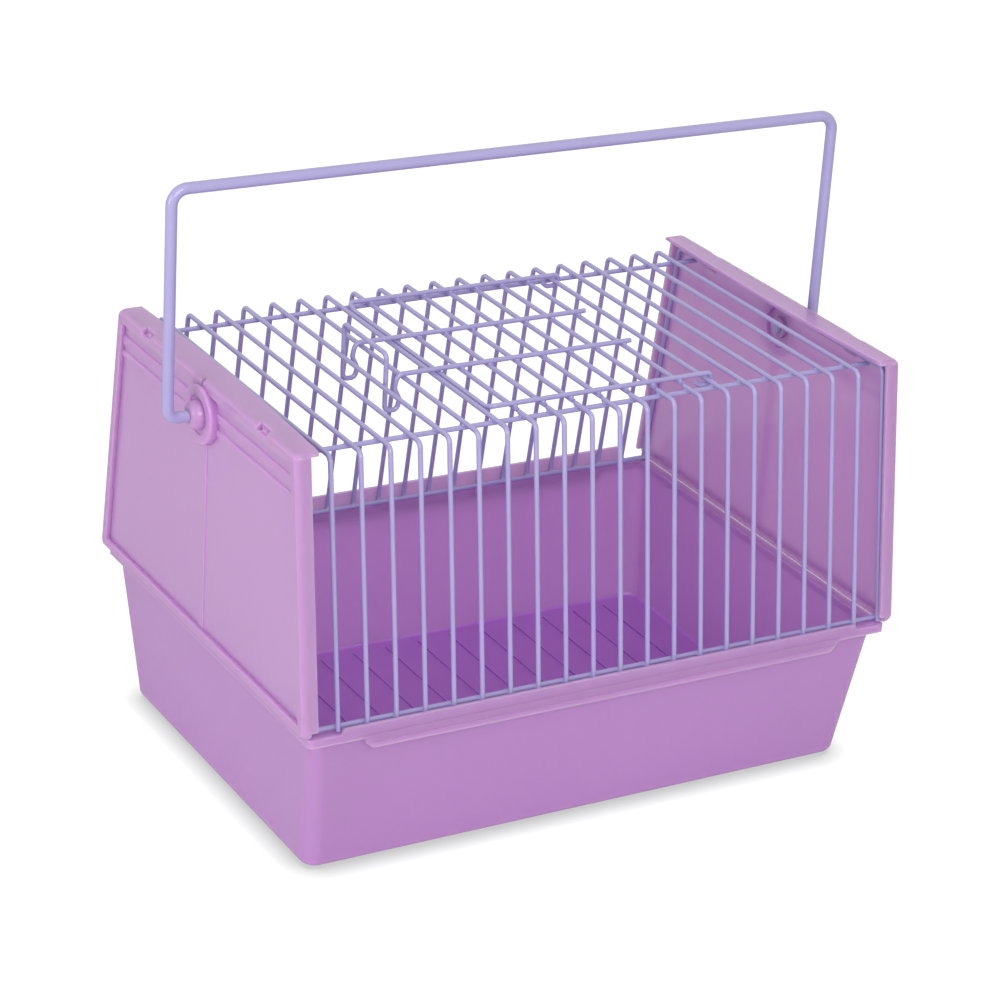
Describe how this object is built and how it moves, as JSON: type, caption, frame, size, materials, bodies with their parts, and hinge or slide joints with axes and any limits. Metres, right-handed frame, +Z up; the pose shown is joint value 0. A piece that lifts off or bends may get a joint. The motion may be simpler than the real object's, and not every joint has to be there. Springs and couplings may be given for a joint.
{
  "type": "bird travel carrier",
  "caption": "Small bird travel carrier: moulded tub, lift-off wire cage with end panels, hinged roof door with sprung wire latch, swinging carry handle.",
  "frame": {"origin": "centre of the carrier on the plane its four feet stand on", "axes": "+X along the carrier from the latch side to the hinge side of the roof door, +Y from front to back, +Z up"},
  "size_m": [0.3088, 0.1966, 0.2606],
  "materials": {
    "violet_tub": "smooth moulded plastic, softly glossy",
    "lilac_panel": "smooth moulded plastic, softly glossy",
    "lavender_wire": "glossy enamel on steel wire",
    "lavender_rod": "glossy enamel on steel rod"
  },
  "bodies": {
    "tub": {"tub": "violet_tub"},
    "cage": {"left_end_panel": "lilac_panel", "right_end_panel": "lilac_panel", "front_bottom_rail": "lavender_wire", "back_bottom_rail": "lavender_wire", "front_top_rail": "lavender_wire", "back_top_rail": "lavender_wire", "left_end_hoop": "lavender_wire", "right_end_hoop": "lavender_wire", "hoop_01": "lavender_wire", "hoop_02": "lavender_wire", "hoop_03": "lavender_wire", "hoop_04": "lavender_wire", "hoop_05": "lavender_wire", "hoop_06": "lavender_wire", "hoop_07": "lavender_wire", "hoop_08": "lavender_wire", "hoop_09": "lavender_wire", "hoop_10": "lavender_wire", "hoop_11": "lavender_wire", "hoop_12": "lavender_wire", "hoop_13": "lavender_wire", "front_bar_1": "lavender_wire", "front_bar_2": "lavender_wire", "front_bar_3": "lavender_wire", "front_bar_4": "lavender_wire", "front_bar_5": "lavender_wire", "front_bar_6": "lavender_wire", "front_bar_7": "lavender_wire", "back_bar_1": "lavender_wire", "back_bar_2": "lavender_wire", "back_bar_3": "lavender_wire", "back_bar_4": "lavender_wire", "back_bar_5": "lavender_wire", "back_bar_6": "lavender_wire", "back_bar_7": "lavender_wire"},
    "handle": {"carry_handle": "lavender_rod"},
    "door": {"door_frame": "lavender_wire", "door_bar_1": "lavender_wire", "door_bar_2": "lavender_wire", "door_bar_3": "lavender_wire", "door_bar_4": "lavender_wire", "door_bar_5": "lavender_wire", "door_bar_6": "lavender_wire", "door_bar_7": "lavender_wire", "door_latch": "lavender_wire"}
  },
  "joints": [
    {"name": "cage_lift", "type": "slide", "parent": "tub", "child": "cage", "axis": [0, 0, 1], "range_m": [0, 0.1]},
    {"name": "handle_swing", "type": "hinge", "parent": "cage", "child": "handle", "pos_m": [0, 0, 0.1645], "axis": [1, 0, 0], "range_deg": [-103, 103]},
    {"name": "door_swing", "type": "hinge", "parent": "cage", "child": "door", "pos_m": [0.05715, 0, 0.1748], "axis": [0, 1, 0], "range_deg": [0, 34]}
  ]
}
